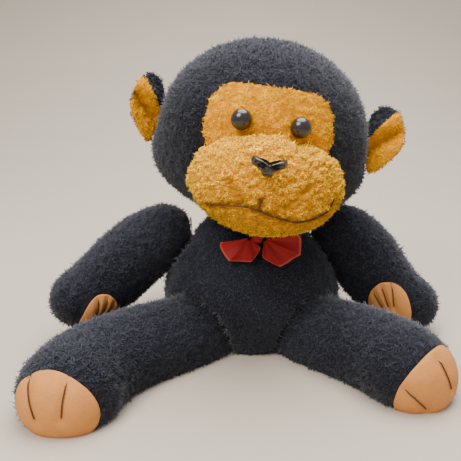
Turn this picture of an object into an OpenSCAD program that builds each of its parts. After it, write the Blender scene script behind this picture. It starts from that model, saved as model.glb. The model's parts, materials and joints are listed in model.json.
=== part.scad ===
// Seated plush monkey: cloth shells over stuffing, sewn together so that the head, arms, legs
// and ears can be moved by hand. It faces -Y and sits on the plane z = 0, with its own left
// side at +X. Every limb starts in a round root that lies in a round dish of the body, and a
// ring of thread in the gap between them is what holds the two together.

/* [Cloth] */
// Thickness of the pile cloth
cloth = 2.4; // [2:0.1:2.9]
// Gap between a cloth shell and the stuffing in it
stuffing_gap = 0.5; // [0.4:0.1:0.6]
// Gap between two cloth pieces that are sewn edge to edge
seam_gap = 0.4; // [0.3:0.1:0.5]
// Thickness of the smooth felt of the palms and soles
felt = 1.2; // [1:0.1:1.5]
// Thickness of the sewing thread
thread = 0.8; // [0.6:0.1:1]
// Gap between a limb's round root and its dish, where the thread ring lies
root_gap = 2.3; // [1.9:0.1:2.8]

/* [Body] */
// Width of the belly
belly_w = 170; // [142:1:204]
// Depth of the belly, front to back
belly_d = 140; // [116:1:168]
// Height of the widest part of the belly
belly_z = 60; // [48:1:72]
// Width of the chest under the arms
chest_w = 124; // [104:1:149]
// Depth of the chest
chest_d = 98; // [80:1:118]
// Height of the middle of the chest
chest_z = 104; // [86:1:125]
// How much the weight flattens the rounded seat
seat_flat = 11; // [4:1:14]

/* [Neck and head] */
// Height of the point that the head turns about
neck_z = 118; // [98:1:142]
// Radius of the neck's round top
neck_r = 42; // [35:1:51]
// Width of the head
head_w = 178; // [148:1:214]
// Height of the head
head_h = 154; // [128:1:185]
// Depth of the head
head_d = 150; // [125:1:180]
// Height of the head's middle over the neck point
head_rise = 95; // [79:1:114]
// How far the head sits forward of the neck point
head_forward = 26; // [21:1:32]
// How far the head's middle lies to its right of the neck point
head_side = 6; // [0:1:10]
// Width of the cheeks, low on the head
cheek_w = 188; // [156:1:226]
// How far the head is tilted towards its left shoulder
head_tilt = 8; // [0:1:12]

/* [Face] */
// Width of the brow mask
mask_w = 95; // [79:1:114]
// Top of the brow mask over the head's middle
mask_top = 34; // [28:1:41]
// Width of the muzzle
muzzle_w = 120; // [100:1:144]
// How far the muzzle is pushed to the head's left
muzzle_side = 4; // [0:1:6]
// Height of the muzzle
muzzle_h = 84; // [70:1:101]
// Depth of the muzzle's full round form
muzzle_d = 80; // [66:1:96]
// How far the muzzle's middle lies below the head's middle
muzzle_drop = 34; // [28:1:41]
// How far the muzzle's middle lies in front of the head's middle
muzzle_forward = 58; // [48:1:70]
// How far the mouth seam lies below the muzzle's middle
mouth_drop = 17; // [14:1:21]
// Diameter of an eye
eye_d = 15; // [12.5:0.5:18]
// Distance between the eyes' middles
eye_gap = 42; // [35:1:51]
// Height of the eyes over the head's middle
eye_rise = 8; // [6:1:10]
// Width of the nose
nose_w = 24; // [18:0.5:30]
// Height of the nose
nose_h = 15; // [12.5:0.5:18]
// Height of the nose over the muzzle's middle
nose_rise = 12; // [10:1:15]
// Diameter of the plastic shanks behind the eyes and the nose
shank_d = 4; // [3:0.5:5]
// Length of the shanks
shank_l = 14; // [11:0.5:17]
// Clearance round a shank in its hole
shank_clearance = 0.3; // [0.2:0.1:0.4]
// Diameter of the washers that lock the shanks
washer_d = 16; // [13:1:20]
// Thickness of the washers
washer_t = 2; // [1.6:0.1:2.4]

/* [Ears] */
// Height of an ear
ear_h = 58; // [48:1:70]
// How far an ear stands out from its root
ear_w = 32; // [26:1:39]
// Thickness of an ear's two layers and the cup between them
ear_t = 12; // [10:0.5:14.4]
// How far an ear is turned forward from straight sideways
ear_forward = 30; // [25:1:36]
// Radius of the rolled root that an ear bends about
ear_root_r = 4; // [3.3:0.1:4.8]
// Height of the ears' middle over the head's middle
ear_rise = 8; // [6:1:10]
// Gap between an ear's root and its groove in the head
ear_gap = 0.8; // [0.6:0.1:1]

/* [Arms] */
// Distance of the shoulder points from the middle plane
shoulder_x = 84; // [69:1:100]
// Height of the shoulder points
shoulder_z = 120; // [100:1:144]
// Radius of an arm's round root
shoulder_r = 29; // [24:1:35]
// Radius of the middle of an arm
forearm_r = 33; // [27:1:40]
// Radius of a hand
hand_r = 26; // [21:1:32]
// Length of an arm's middle line from the shoulder point
arm_l = 98; // [81:1:118]
// Right arm: turn from straight sideways to the front, at its root, middle and hand
arm_turn_right = [8, 32, 34]; // [0:1:90]
// Right arm: drop below level, at its root, middle and hand
arm_drop_right = [26, 37, 14]; // [0:1:70]
// Left arm: turn from straight sideways to the front, at its root, middle and hand
arm_turn_left = [2, 12, 14]; // [0:1:90]
// Left arm: drop below level, at its root, middle and hand
arm_drop_left = [25, 55, 12]; // [0:1:70]
// Length of a palm pad
palm_l = 46; // [38:1:56]
// Width of a palm pad
palm_w = 32; // [26:1:39]

/* [Legs] */
// Distance of the hip points from the middle plane
hip_x = 52; // [43:1:63]
// How far the hip points lie in front of the middle
hip_y = 40; // [33:1:48]
// Radius of a leg's round root
hip_r = 36; // [30:1:44]
// Radius of the middle of a leg
calf_r = 36; // [30:1:44]
// Radius of a foot
foot_r = 34; // [28:1:41]
// How far a foot is wider than it is thick, to each side of its middle
foot_spread = 5; // [4:1:6]
// Length of the right leg's middle line from the hip point, as it is stretched out
leg_l_right = 126; // [105:1:152]
// Length of the left leg's middle line from the hip point, as it is pushed up
leg_l_left = 92; // [76:1:111]
// Right leg: turn from straight sideways to the front, at its root, middle and foot
leg_turn_right = [42, 40, 86]; // [0:1:110]
// Left leg: turn from straight sideways to the front, at its root, middle and foot
leg_turn_left = [44, 42, 68]; // [0:1:110]
// How far the right foot is rolled outwards
foot_roll_right = 6; // [0:1:70]
// How far the left foot is rolled outwards
foot_roll_left = 34; // [0:1:70]
// Gap between a leg and the ground, so that the seat carries the weight
leg_lift = 0.6; // [0.5:0.1:0.8]
// Width of a sole pad
sole_w = 56; // [46:1:68]
// Height of a sole pad
sole_h = 48; // [40:1:58]

/* [Bow] */
// Length of each lobe of the bow
bow_l = 32; // [26:1:39]
// Height of a lobe at its wide end
bow_h = 24; // [20:1:29]
// Height of a lobe at the knot
bow_root_h = 10; // [8:1:12]
// Thickness of a pleated lobe
bow_t = 4; // [3:0.5:5]
// How far the bow is sewn to the left of the middle
bow_side = 6; // [0:1:10]
// Height of the bow's middle over the ground
bow_z = 118; // [95:1:142]

/* [Hidden] */

black_pile = "#26262b";
gold_pile = "#c99138";
tan_felt = "#cf9c72";
brown_thread = "#3a2417";
dark_plastic = "#0c0b0b";
white_fill = "#efece4";
red_cloth = "#8f2a26";
black_thread = "#17171a";

big = 400;                                // beyond every form of the toy
fine = 24;                                // facets round a form
limb_fine = 16;                           // facets round a limb
limb_steps = 8;                           // steps along a limb
fill = cloth + stuffing_gap;              // from the outside of a cloth to its stuffing
shoulder_back = 2;                        // how far the shoulders lie behind the middle
neck = [0, 0, neck_z];
shoulder = [shoulder_x, shoulder_back, shoulder_z];
hip = [hip_x, -hip_y, hip_r + leg_lift];
opening_r = 14;                           // stuffing openings, closed by the sewing
wide_ring = 0.8;                          // a thread ring's radius as a share of its root's
small_ring = 0.5;                         // the same at the shoulders, whose dishes are shallow

function mix(a, b, t) = a + (b - a) * t;
// A value that runs smoothly through v[0], v[1] and v[2] as t goes from 0 to 1.
function through(v, t) = v[0] * (1 - t) * (1 - 2 * t) + v[1] * 4 * t * (1 - t) + v[2] * t * (2 * t - 1);

function sign_of(side) = side == "left" ? 1 : -1;

// ---- forms -------------------------------------------------------------------------------

// A round form with radii r, grown by g.
module blob(r, g = 0, facets = fine)
  hull() scale([r[0] + g, r[1] + g, r[2] + g]) sphere(1, $fn = facets);

// Round forms joined one after the other; each station is [place, radii].
module chain(stations, g = 0, facets = fine)
  for (i = [0 : len(stations) - 2])
    hull()
      for (s = [stations[i], stations[i + 1]])
        translate(s[0]) scale([for (r = s[1]) r + g]) sphere(1, $fn = facets);

module on_side(side) mirror([side == "left" ? 0 : 1, 0, 0]) children();

// Direction of a limb: turn is from straight sideways to the front, drop is below level.
function heading(turn, drop) =
  [cos(drop) * cos(turn), -cos(drop) * sin(turn), -sin(drop)];

// Middle line of a limb that leaves start and has these turns and drops along it.
function spine(start, turn, drop, length) =
  [for (i = 0, p = start; i <= limb_steps;
        p = p + heading(through(turn, (i + 0.5) / limb_steps),
                        through(drop, (i + 0.5) / limb_steps)) * length / limb_steps,
        i = i + 1) p];

function limb_stations(line, radii) =
  [for (i = [0 : limb_steps]) let (r = through(radii, i / limb_steps)) [line[i], [r, r, r]]];

// Puts a piece at a place with its z axis along a direction and its y axis as near upright
// as that allows.
module facing(place, direction) {
  turn = atan2(direction[1], direction[0]);
  rise = asin(direction[2] / norm(direction));
  translate(place) rotate([0, 0, turn]) rotate([0, 90 - rise, 0]) rotate([0, 0, 90]) children();
}

// A ring of thread on a round root of radius r, with its axis along z.
module thread_ring(r, share) {
  ring_r = (r + root_gap / 2) * share;
  height = sqrt(pow(r + root_gap / 2, 2) - pow(ring_r, 2));
  translate([0, 0, height])
    rotate_extrude($fn = 64) translate([ring_r, 0]) circle(thread / 2, $fn = 16);
}

// ---- body --------------------------------------------------------------------------------

belly_rz = belly_z + seat_flat;
seat_z = belly_z * 0.9;     // the seat's round form lies a little below the belly's
seat_w_share = 0.41;        // half its width as a share of the belly's width
seat_d_share = 0.47;        // the same for its depth
arm_dent_gap = 2.1;         // between an arm and the dent that it presses into the body
waist_w_share = 0.2;        // from the belly's width to the chest's, just under the arms
waist_d_share = 0.42;       // the same for the depth
yoke_z_share = 0.7;         // from the chest's height to the shoulders', between the arms
yoke_w_share = 0.75;        // half its width as a share of the shoulders' distance
yoke_d_share = 0.36;        // half its depth as a share of the chest's
chest_rz = neck_z + neck_r * 0.6 - chest_z;

torso_stations = [
  [[0, 0, seat_z], [belly_w * seat_w_share, belly_d * seat_d_share, seat_z + seat_flat]],
  [[0, 0, belly_z], [belly_w / 2, belly_d / 2, belly_rz * 0.86]],
  [[0, 0, mix(belly_z, chest_z, 0.55)],
   [mix(belly_w, chest_w, waist_w_share) / 2, mix(belly_d, chest_d, waist_d_share) / 2,
    belly_rz * 0.7]],
  [[0, 0, chest_z], [chest_w / 2, chest_d / 2, chest_rz]],
  [[0, 0, mix(chest_z, shoulder_z, yoke_z_share)],
   [shoulder_x * yoke_w_share, chest_d * yoke_d_share, shoulder_r * 0.5]],
  [neck, [neck_r, neck_r, neck_r]]];

module torso_form(g = 0)
  difference() {
    chain(torso_stations, g);
    translate([0, 0, -big / 2 - g]) cube(big, center = true);
    for (s = [-1, 1]) {
      translate([s * shoulder[0], shoulder[1], shoulder[2]])
        blob([1, 1, 1] * (shoulder_r + root_gap), -g);
      translate([s * hip[0], hip[1], hip[2]])
        blob([1, 1, 1] * (hip_r + root_gap), -g);
    }
    for (side = ["left", "right"]) on_side(side) arm_form(side, arm_dent_gap - g);
  }

module torso_cover()
  color(black_pile)
    difference() {
      torso_form();
      torso_form(-cloth);
      translate(neck) cylinder(r = opening_r, h = big / 2, $fn = fine);
    }

module torso_filling() color(white_fill) torso_form(-fill);

// The hand-sewn seam down the back through which the body was stuffed.
module closing_stitches()
  color(black_thread)
    intersection() {
      difference() {
        chain(torso_stations, thread + 0.1);
        chain(torso_stations, 0.1);
      }
      for (i = [0 : 7])
        translate([0, belly_d / 2, belly_z + i * 7]) rotate([0, 35, 0])
          cube([8, belly_d / 2, thread], center = true);
    }

// ---- bow ---------------------------------------------------------------------------------

bow_y = -chest_d / 2 - bow_t - 4;

module bow_lobe(side)
  translate([bow_side, bow_y, bow_z])
    on_side(side)
      translate([bow_root_h / 2, 0, 0]) rotate([90, 4, -8])
        linear_extrude(bow_t, center = true)
          polygon([[0.5, -bow_root_h / 2], [bow_l * 0.8, -bow_h * 0.62], [bow_l, -bow_h * 0.3],
                   [bow_l, bow_h * 0.3], [bow_l * 0.8, bow_h * 0.5], [0.5, bow_root_h / 2]]);

module bow_knot()
  color(red_cloth)
    translate([bow_side, bow_y, bow_z])
      rotate([90, 0, 0])
        cylinder(d = bow_root_h * 0.8, h = bow_t + 3, center = true, $fn = 32);

// ---- head --------------------------------------------------------------------------------

// The head's own frame: its middle is the origin, and it is tilted about the neck point.
module in_head()
  translate(neck) rotate([0, head_tilt, 0]) translate(-neck_in_head) children();

head_r = [head_w, head_d, head_h] / 2;
washer_depth = cloth + 4.6;   // from the front of a cloth to the washer behind it
dome_gap = 0.7;             // between a plastic dome and the cloth under it
neck_in_head = [head_side, head_forward, -head_rise];
muzzle_r = [muzzle_w, muzzle_d, muzzle_h] / 2;
muzzle = [muzzle_side, -muzzle_forward, -muzzle_drop];

// Front surface of the head's round form at a sideways and upward distance.
function head_front(x, z) =
  -head_r[1] * sqrt(1 - pow(x / head_r[0], 2) - pow(z / head_r[2], 2));

// Front surface of the muzzle's round form, the same way.
function muzzle_front(x, z) =
  muzzle[1] - muzzle_r[1] * sqrt(1 - pow(x / muzzle_r[0], 2) - pow(z / muzzle_r[2], 2));

// Side surface of the head at the ears' height.
ear_x = head_r[0] * sqrt(1 - pow(ear_rise / head_r[2], 2)) + ear_root_r * 0.1;
ear_root_l = ear_h * 0.6;

module at_ear(side)
  on_side(side) translate([ear_x, 0, ear_rise]) rotate([0, -6, -ear_forward]) children();

cheeks = [0, head_d * 0.03, -head_h * 0.14];
cheek_r = [cheek_w / 2, head_d * 0.4, head_h * 0.34];

module head_form(g = 0)
  difference() {
    chain([[[0, 0, 0], head_r], [cheeks, cheek_r]], g, 28);
    translate(neck_in_head) blob([1, 1, 1] * (neck_r + root_gap), -g);
    for (side = ["left", "right"])
      at_ear(side)
        hull()
          cylinder(r = ear_root_r + ear_gap - g, h = ear_root_l + 2 * (ear_gap - g),
                   center = true, $fn = 16);
  }

module muzzle_form(g = 0) translate(muzzle) blob(muzzle_r, g, 28);

// Outline of the brow mask, seen from the front, grown by g; the muzzle covers its foot.
module mask_outline(g = 0)
  offset(r = g, $fn = 24)
    hull()
      for (s = [-1, 1]) {
        translate([s * mask_w * 0.26, mask_top - mask_w * 0.23]) circle(mask_w * 0.23, $fn = 32);
        translate([s * mask_w * 0.32, 2]) circle(mask_w * 0.18, $fn = 32);
        translate([s * mask_w * 0.3, -muzzle_drop]) circle(mask_w * 0.1, $fn = 32);
      }

module mask_prism(g = 0)
  rotate([90, 0, 0]) linear_extrude(big / 2) mask_outline(g);

module shank_hole(x, z)
  translate([x, 0, z]) rotate([90, 0, 0])
    cylinder(d = shank_d + 2 * shank_clearance, h = big / 2, $fn = 24);

// Room in the stuffing for a shank and its washer, behind the cloth at y.
module washer_pocket(x, y, z)
  translate([x, y + washer_depth + washer_t + stuffing_gap, z]) rotate([90, 0, 0]) {
    cylinder(d = washer_d + 2 * stuffing_gap, h = big / 2, $fn = 24);
    translate([0, 0, -shank_l]) cylinder(d = shank_d + 2 * stuffing_gap, h = big / 2, $fn = 24);
  }

module head_cover()
  color(black_pile)
    in_head()
      difference() {
        head_form();
        head_form(-cloth);
        mask_prism(seam_gap / 2);
        translate(neck_in_head) cylinder(r = opening_r, h = neck_r * 2, $fn = fine);
      }

module face_panel()
  color(gold_pile)
    in_head()
      difference() {
        intersection() {
          head_form();
          mask_prism(-seam_gap / 2);
        }
        head_form(-cloth);
        for (s = [-1, 1]) shank_hole(s * eye_gap / 2, eye_rise);
      }

module head_filling()
  color(white_fill)
    in_head()
      difference() {
        head_form(-fill);
        for (s = [-1, 1])
          washer_pocket(s * eye_gap / 2, head_front(eye_gap / 2, eye_rise), eye_rise);
      }

// ---- muzzle ------------------------------------------------------------------------------

module above_mouth(gap)
  translate([-big / 2, -big, muzzle[2] - mouth_drop + gap]) cube(big);

module below_mouth(gap)
  translate([-big / 2, -big, muzzle[2] - mouth_drop - gap - big]) cube(big);

module muzzle_shell()
  difference() {
    muzzle_form();
    muzzle_form(-cloth);
    head_form(seam_gap);
    for (s = [-1, 1])
      translate([s * eye_gap / 2, 0, eye_rise]) rotate([90, 0, 0])
        cylinder(d = eye_d + 2 * dome_gap, h = big / 2, $fn = 32);
  }

module upper_muzzle()
  color(gold_pile)
    in_head()
      difference() {
        intersection() {
          muzzle_shell();
          above_mouth(seam_gap / 2);
        }
        shank_hole(0, muzzle[2] + nose_rise);
      }

module chin()
  color(gold_pile)
    in_head()
      intersection() {
        muzzle_shell();
        below_mouth(seam_gap / 2);
      }

module muzzle_filling()
  color(white_fill)
    in_head()
      difference() {
        muzzle_form(-fill);
        head_form(seam_gap + stuffing_gap);
        washer_pocket(0, nose_y, muzzle[2] + nose_rise);
      }

// A row of stitches in the mouth seam.
module mouth_stitching()
  color(brown_thread)
    in_head()
      intersection() {
        difference() {
          muzzle_form(thread + 0.1);
          muzzle_form(0.1);
        }
        for (i = [-8 : 8])
          translate([i * muzzle_w * 0.036, muzzle[1] - muzzle_r[1],
                     muzzle[2] - mouth_drop + 0.012 * pow(i * 2, 2)])
            rotate([0, -i * 3, 0])
              cube([muzzle_w * 0.03, muzzle_d * 0.7, thread], center = true);
      }

// ---- eyes and nose -----------------------------------------------------------------------

nose_y = muzzle_front(0, nose_rise);
nose_gap = 1.8;             // its lower point meets the cloth first, so it stands out more

// A dome with a shank behind it: the dome's back is the plane z = 0, and the shank runs to -z.
module shank() translate([0, 0, -shank_l]) cylinder(d = shank_d, h = shank_l + 1, $fn = 32);

module at_eye(side)
  in_head()
    translate([sign_of(side) * eye_gap / 2, head_front(eye_gap / 2, eye_rise) - dome_gap, eye_rise])
      rotate([90, 0, 0]) children();

module eye(side)
  color(dark_plastic)
    at_eye(side) {
      shank();
      difference() {
        translate([0, 0, 0.8]) sphere(d = eye_d, $fn = 48);
        translate([0, 0, -eye_d]) cube(2 * eye_d, center = true);
      }
    }

module washer()
  difference() {
    cylinder(d = washer_d, h = washer_t, center = true, $fn = 48);
    cylinder(d = shank_d + 0.1, h = 2 * washer_t, center = true, $fn = 48);
  }

module eye_washer(side)
  color(white_fill)
    at_eye(side) translate([0, 0, -dome_gap - washer_depth - washer_t / 2]) washer();

module at_nose()
  in_head() translate([0, nose_y - nose_gap, muzzle[2] + nose_rise]) rotate([90, 0, 0]) children();

// A rounded triangle, wide at the top, with its point downwards.
module nose()
  color(dark_plastic)
    at_nose() {
      shank();
      intersection() {
        hull()
          for (s = [-1, 1]) {
            translate([s * nose_w * 0.3, nose_h * 0.2, 0])
              scale([nose_w * 0.2, nose_h * 0.3, nose_h * 0.42]) sphere(1, $fn = 32);
            translate([0, -nose_h * 0.3, 0])
              scale([nose_w * 0.12, nose_h * 0.2, nose_h * 0.34]) sphere(1, $fn = 32);
          }
        translate([0, 0, nose_h]) cube(2 * nose_h + 2 * nose_w, center = true);
        translate([0, 0, nose_h]) cube([2 * nose_w, 2 * nose_w, 2 * nose_h], center = true);
      }
    }

module nose_washer()
  color(white_fill)
    at_nose() translate([0, 0, -nose_gap - washer_depth - washer_t / 2]) washer();

// ---- ears --------------------------------------------------------------------------------

// An ear's full round form, with its cup towards the front.
module ear_blank(g = 0)
  difference() {
    union() {
      translate([ear_w * 0.46, 0, 0])
        blob([ear_w * 0.54, ear_t / 2, ear_h / 2], g, 24);
      hull() cylinder(r = ear_root_r + g, h = ear_root_l, center = true, $fn = 16);
    }
    translate([ear_w * 0.62, -ear_t * 0.72, 0])
      blob([ear_w * 0.36, ear_t * 0.6, ear_h * 0.4], -g, 24);
  }

lining_out = ear_w * 0.16;  // where the lining starts, out from the root

module lining_zone(g = 0)
  translate([lining_out - g, -ear_t, -ear_h]) cube([ear_w * 2, ear_t * 0.92 + g, 2 * ear_h]);

module ear_back(side)
  color(black_pile)
    in_head() at_ear(side)
      difference() {
        ear_blank();
        lining_zone(seam_gap);
      }

module ear_lining(side)
  color(gold_pile)
    in_head() at_ear(side)
      intersection() {
        ear_blank();
        lining_zone();
      }

// ---- arms --------------------------------------------------------------------------------

function arm_turn(side) = side == "left" ? arm_turn_left : arm_turn_right;
function arm_drop(side) = side == "left" ? arm_drop_left : arm_drop_right;
function arm_line(side) = spine(shoulder, arm_turn(side), arm_drop(side), arm_l);

module arm_form(side, g = 0)
  chain(limb_stations(arm_line(side), [shoulder_r, forearm_r, hand_r]), g, limb_fine);

module at_shoulder(side)
  facing(shoulder, -heading(arm_turn(side)[0], 0)) children();

module shoulder_stitching(side)
  color(black_thread) on_side(side) at_shoulder(side) thread_ring(shoulder_r, small_ring);

module arm_cover(side)
  color(black_pile)
    on_side(side)
      difference() {
        arm_form(side);
        arm_form(side, -cloth);
        at_shoulder(side) cylinder(r = opening_r, h = big / 4, $fn = fine);
      }

module arm_filling(side) color(white_fill) on_side(side) arm_form(side, -fill);

// The palms face in, down and forward; a palm's frame has z out of the pad and y along the hand.
palm_right = [-0.78, -0.45, -0.42];
palm_left = [-0.8, -0.58, 0.1];

module at_palm(side)
  facing(arm_line(side)[limb_steps], side == "left" ? palm_left : palm_right) children();

module palm_outline(g = 0)
  scale([palm_w / 2 + g, palm_l / 2 + g]) circle(1, $fn = 32);

module on_palm(side, low, high)
  difference() {
    intersection() {
      arm_form(side, high);
      at_palm(side) linear_extrude(big / 4) children();
    }
    arm_form(side, low);
  }

module palm_pad(side)
  color(tan_felt) on_side(side) on_palm(side, 0.1, felt) palm_outline();

module finger_stitches(side)
  color(brown_thread)
    on_side(side)
      on_palm(side, felt + 0.1, felt + 0.1 + thread)
        for (i = [-1, 0, 1])
          translate([i * palm_w * 0.2, palm_l * 0.26]) rotate(-i * 8)
            square([thread, palm_l * 0.3], center = true);

// ---- legs --------------------------------------------------------------------------------

function leg_turn(side) = side == "left" ? leg_turn_left : leg_turn_right;
function leg_l(side) = side == "left" ? leg_l_left : leg_l_right;
function foot_roll(side) = side == "left" ? foot_roll_left : foot_roll_right;
function leg_end(side) = heading(leg_turn(side)[2], 0);
function leg_r(t) = through([hip_r, calf_r, foot_r], t);

// Direction in which a foot is wide: level, or turned up as the foot rolls.
function foot_axis(side) =
  let (turn = leg_turn(side)[2], roll = foot_roll(side))
  [sin(turn) * cos(roll), cos(turn) * cos(roll), -sin(roll)];

// Middle line of a leg, at the height at which the leg lies along the ground.
function leg_line(side) =
  let (flat_line = spine(hip, leg_turn(side), [0, 0, 0], leg_l(side)))
  [for (i = [0 : limb_steps])
     let (t = i / limb_steps)
     [flat_line[i][0], flat_line[i][1],
      leg_lift + leg_r(t) + t * t * foot_spread * sin(foot_roll(side))]];

module leg_form(side, g = 0)
  for (i = [0 : limb_steps - 1])
    hull()
      for (k = [i, i + 1], s = [-1, 1])
        let (t = k / limb_steps)
        translate(leg_line(side)[k] + s * t * t * foot_spread * foot_axis(side))
          sphere(leg_r(t) + g, $fn = limb_fine);

module at_hip(side)
  facing(hip, -heading(leg_turn(side)[0], 0)) children();

module hip_stitching(side)
  color(black_thread) on_side(side) at_hip(side) thread_ring(hip_r, wide_ring);

module leg_cover(side)
  color(black_pile)
    on_side(side)
      difference() {
        leg_form(side);
        leg_form(side, -cloth);
        at_hip(side) cylinder(r = opening_r, h = big / 4, $fn = fine);
      }

module leg_filling(side) color(white_fill) on_side(side) leg_form(side, -fill);

module at_sole(side)
  facing(leg_line(side)[limb_steps], leg_end(side)) rotate(foot_roll(side)) children();

module on_sole(side, low, high)
  difference() {
    intersection() {
      leg_form(side, high);
      at_sole(side) linear_extrude(big / 4) children();
    }
    leg_form(side, low);
  }

module sole_pad(side)
  color(tan_felt)
    on_side(side)
      on_sole(side, 0.1, felt)
        scale([sole_w / 2, sole_h / 2]) circle(1, $fn = 32);

module toe_stitches(side)
  color(brown_thread)
    on_side(side)
      on_sole(side, felt + 0.1, felt + 0.1 + thread)
        for (i = [-1, 1])
          translate([i * sole_w * 0.2, sole_h * 0.2]) rotate(-i * 12)
            square([thread, sole_h * 0.4], center = true);

// ---- pieces by name ----------------------------------------------------------------------

module sided(name, side) {
  if (name == "eye") eye(side);
  if (name == "eye_washer") eye_washer(side);
  if (name == "ear_back") ear_back(side);
  if (name == "ear_lining") ear_lining(side);
  if (name == "shoulder_stitching") shoulder_stitching(side);
  if (name == "arm_cover") arm_cover(side);
  if (name == "arm_filling") arm_filling(side);
  if (name == "palm_pad") palm_pad(side);
  if (name == "finger_stitches") finger_stitches(side);
  if (name == "hip_stitching") hip_stitching(side);
  if (name == "leg_cover") leg_cover(side);
  if (name == "leg_filling") leg_filling(side);
  if (name == "sole_pad") sole_pad(side);
  if (name == "toe_stitches") toe_stitches(side);
}

torso_cover();
torso_filling();
closing_stitches();
color(red_cloth) bow_lobe("left");  // bow_left
color(red_cloth) bow_lobe("right");  // bow_right
bow_knot();
color(black_thread) translate(neck) thread_ring(neck_r, wide_ring);  // neck_stitching
head_cover();
head_filling();
face_panel();
upper_muzzle();
chin();
muzzle_filling();
mouth_stitching();
nose();
nose_washer();
for (side = ["left", "right"])
  for (name = ["eye", "eye_washer", "ear_back", "ear_lining", "shoulder_stitching", "arm_cover",
               "arm_filling", "palm_pad", "finger_stitches", "hip_stitching", "leg_cover",
               "leg_filling", "sole_pad", "toe_stitches"])
    sided(name, side);
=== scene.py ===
"""A seated plush monkey: black pile cloth, golden face and ears, felt palms and soles, red bow."""

import json
import math
import bpy
import numpy as np
from mathutils import Matrix, Vector, noise as perlin
from mathutils.bvhtree import BVHTree

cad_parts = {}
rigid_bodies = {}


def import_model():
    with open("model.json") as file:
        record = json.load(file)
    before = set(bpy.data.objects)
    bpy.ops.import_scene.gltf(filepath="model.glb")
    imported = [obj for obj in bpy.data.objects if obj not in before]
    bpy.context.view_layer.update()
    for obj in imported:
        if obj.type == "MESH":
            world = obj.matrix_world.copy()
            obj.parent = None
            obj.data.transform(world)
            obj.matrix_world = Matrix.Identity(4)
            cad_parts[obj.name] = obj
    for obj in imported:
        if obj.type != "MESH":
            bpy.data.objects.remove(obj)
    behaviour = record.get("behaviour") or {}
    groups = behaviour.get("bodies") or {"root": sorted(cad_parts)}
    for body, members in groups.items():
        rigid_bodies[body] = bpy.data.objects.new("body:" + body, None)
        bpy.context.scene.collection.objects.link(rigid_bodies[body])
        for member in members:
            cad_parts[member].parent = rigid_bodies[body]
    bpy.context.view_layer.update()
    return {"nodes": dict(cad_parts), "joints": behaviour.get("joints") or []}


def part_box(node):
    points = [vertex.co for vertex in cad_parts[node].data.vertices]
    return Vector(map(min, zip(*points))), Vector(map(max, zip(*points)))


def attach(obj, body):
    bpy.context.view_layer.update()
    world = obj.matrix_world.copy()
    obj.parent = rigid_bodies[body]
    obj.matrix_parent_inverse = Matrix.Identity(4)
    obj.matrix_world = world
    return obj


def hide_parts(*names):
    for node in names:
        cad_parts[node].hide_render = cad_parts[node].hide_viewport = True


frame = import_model()

# ---- Camera, light and floor -------------------------------------------------------------
# The toy sits on a plain pale floor in front of a pale wall that the floor runs up into, in
# soft light from above and the front.
MM = 0.001

camera_data = bpy.data.cameras.new("view")
camera_data.lens = 36.08
camera_data.sensor_width = 36
camera = bpy.data.objects.new("view", camera_data)
camera.location = Vector((-20, -432, 215)) * MM
camera.rotation_euler = (math.radians(78), 0, 0)
bpy.context.scene.collection.objects.link(camera)
bpy.context.scene.camera = camera


class Shade:
    """A socket of a material's nodes, which Python's operators join to Math nodes."""

    def __init__(self, tree, socket=None):
        self.tree = tree
        self.socket = socket

    def node(self, kind, settings=None, inputs=None, output=0):
        made = self.tree.nodes.new("ShaderNode" + kind)
        for name, value in (settings or {}).items():
            if name == "stops":
                for index, (place, colour) in enumerate(value):
                    stops = made.color_ramp.elements
                    stop = stops[index] if index < 2 else stops.new(place)
                    stop.position = place
                    stop.color = colour
            else:
                setattr(made, name, value)
        for name, value in (inputs or {}).items():
            if isinstance(value, Shade):
                self.tree.links.new(value.socket, made.inputs[name])
            else:
                made.inputs[name].default_value = value
        return Shade(self.tree, made.outputs[output])

    def math(self, operation, first, second):
        return self.node("Math", {"operation": operation}, {0: first, 1: second})

    def __add__(self, other):
        return self.math("ADD", self, other)

    __radd__ = __add__

    def __sub__(self, other):
        return self.math("SUBTRACT", self, other)

    def __rsub__(self, other):
        return self.math("SUBTRACT", other, self)

    def __mul__(self, other):
        return self.math("MULTIPLY", self, other)

    __rmul__ = __mul__

    def into(self, surface, name):
        self.tree.links.new(self.socket, surface.inputs[name])


def new_material(name, roughness, **constants):
    """A material, its surface shader and an empty Shade to start its nodes from."""
    made = bpy.data.materials.new(name)
    made.use_nodes = True
    surface = made.node_tree.nodes["Principled BSDF"]
    surface.inputs["Roughness"].default_value = roughness
    for key, value in constants.items():
        surface.inputs[key.replace("_", " ")].default_value = value
    return made, surface, Shade(made.node_tree)


def blend_colours(shade, factor, first, second):
    """Mixes two colours, each a link or four numbers."""
    return shade.node("Mix", {"data_type": "RGBA"}, {0: factor, 6: first, 7: second}, output=2)


def noise(shade, size, detail=2.0):
    """Soft noise in the object's own metres, with features of this size."""
    place = shade.node("TexCoord", output="Object")
    return shade.node("TexNoise", {},
                      {"Vector": place, "Scale": 1 / size, "Detail": detail}, "Fac")


plaster, plaster_surface, start = new_material("pale_plaster", 0.9)
blend_colours(start, noise(start, 0.4), (0.50, 0.425, 0.335, 1), (0.54, 0.463, 0.366, 1)).into(
    plaster_surface, "Base Color")

bpy.ops.object.select_all(action="DESELECT")
bpy.ops.mesh.primitive_plane_add(size=4, location=(0, 0, 0))
floor = bpy.context.object
floor.name = "floor"
bpy.ops.object.mode_set(mode="EDIT")
bpy.ops.mesh.subdivide(number_cuts=3)
bpy.ops.object.mode_set(mode="OBJECT")
WALL_FOOT = 0.9             # metres behind the toy
WALL_SLOPE = 1.6
for vertex in floor.data.vertices:
    if vertex.co.y > WALL_FOOT:
        vertex.co.z = WALL_SLOPE * (vertex.co.y - WALL_FOOT)
bevel = floor.modifiers.new("cove", "SUBSURF")
bevel.levels = bevel.render_levels = 3
floor.data.materials.append(plaster)

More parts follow.
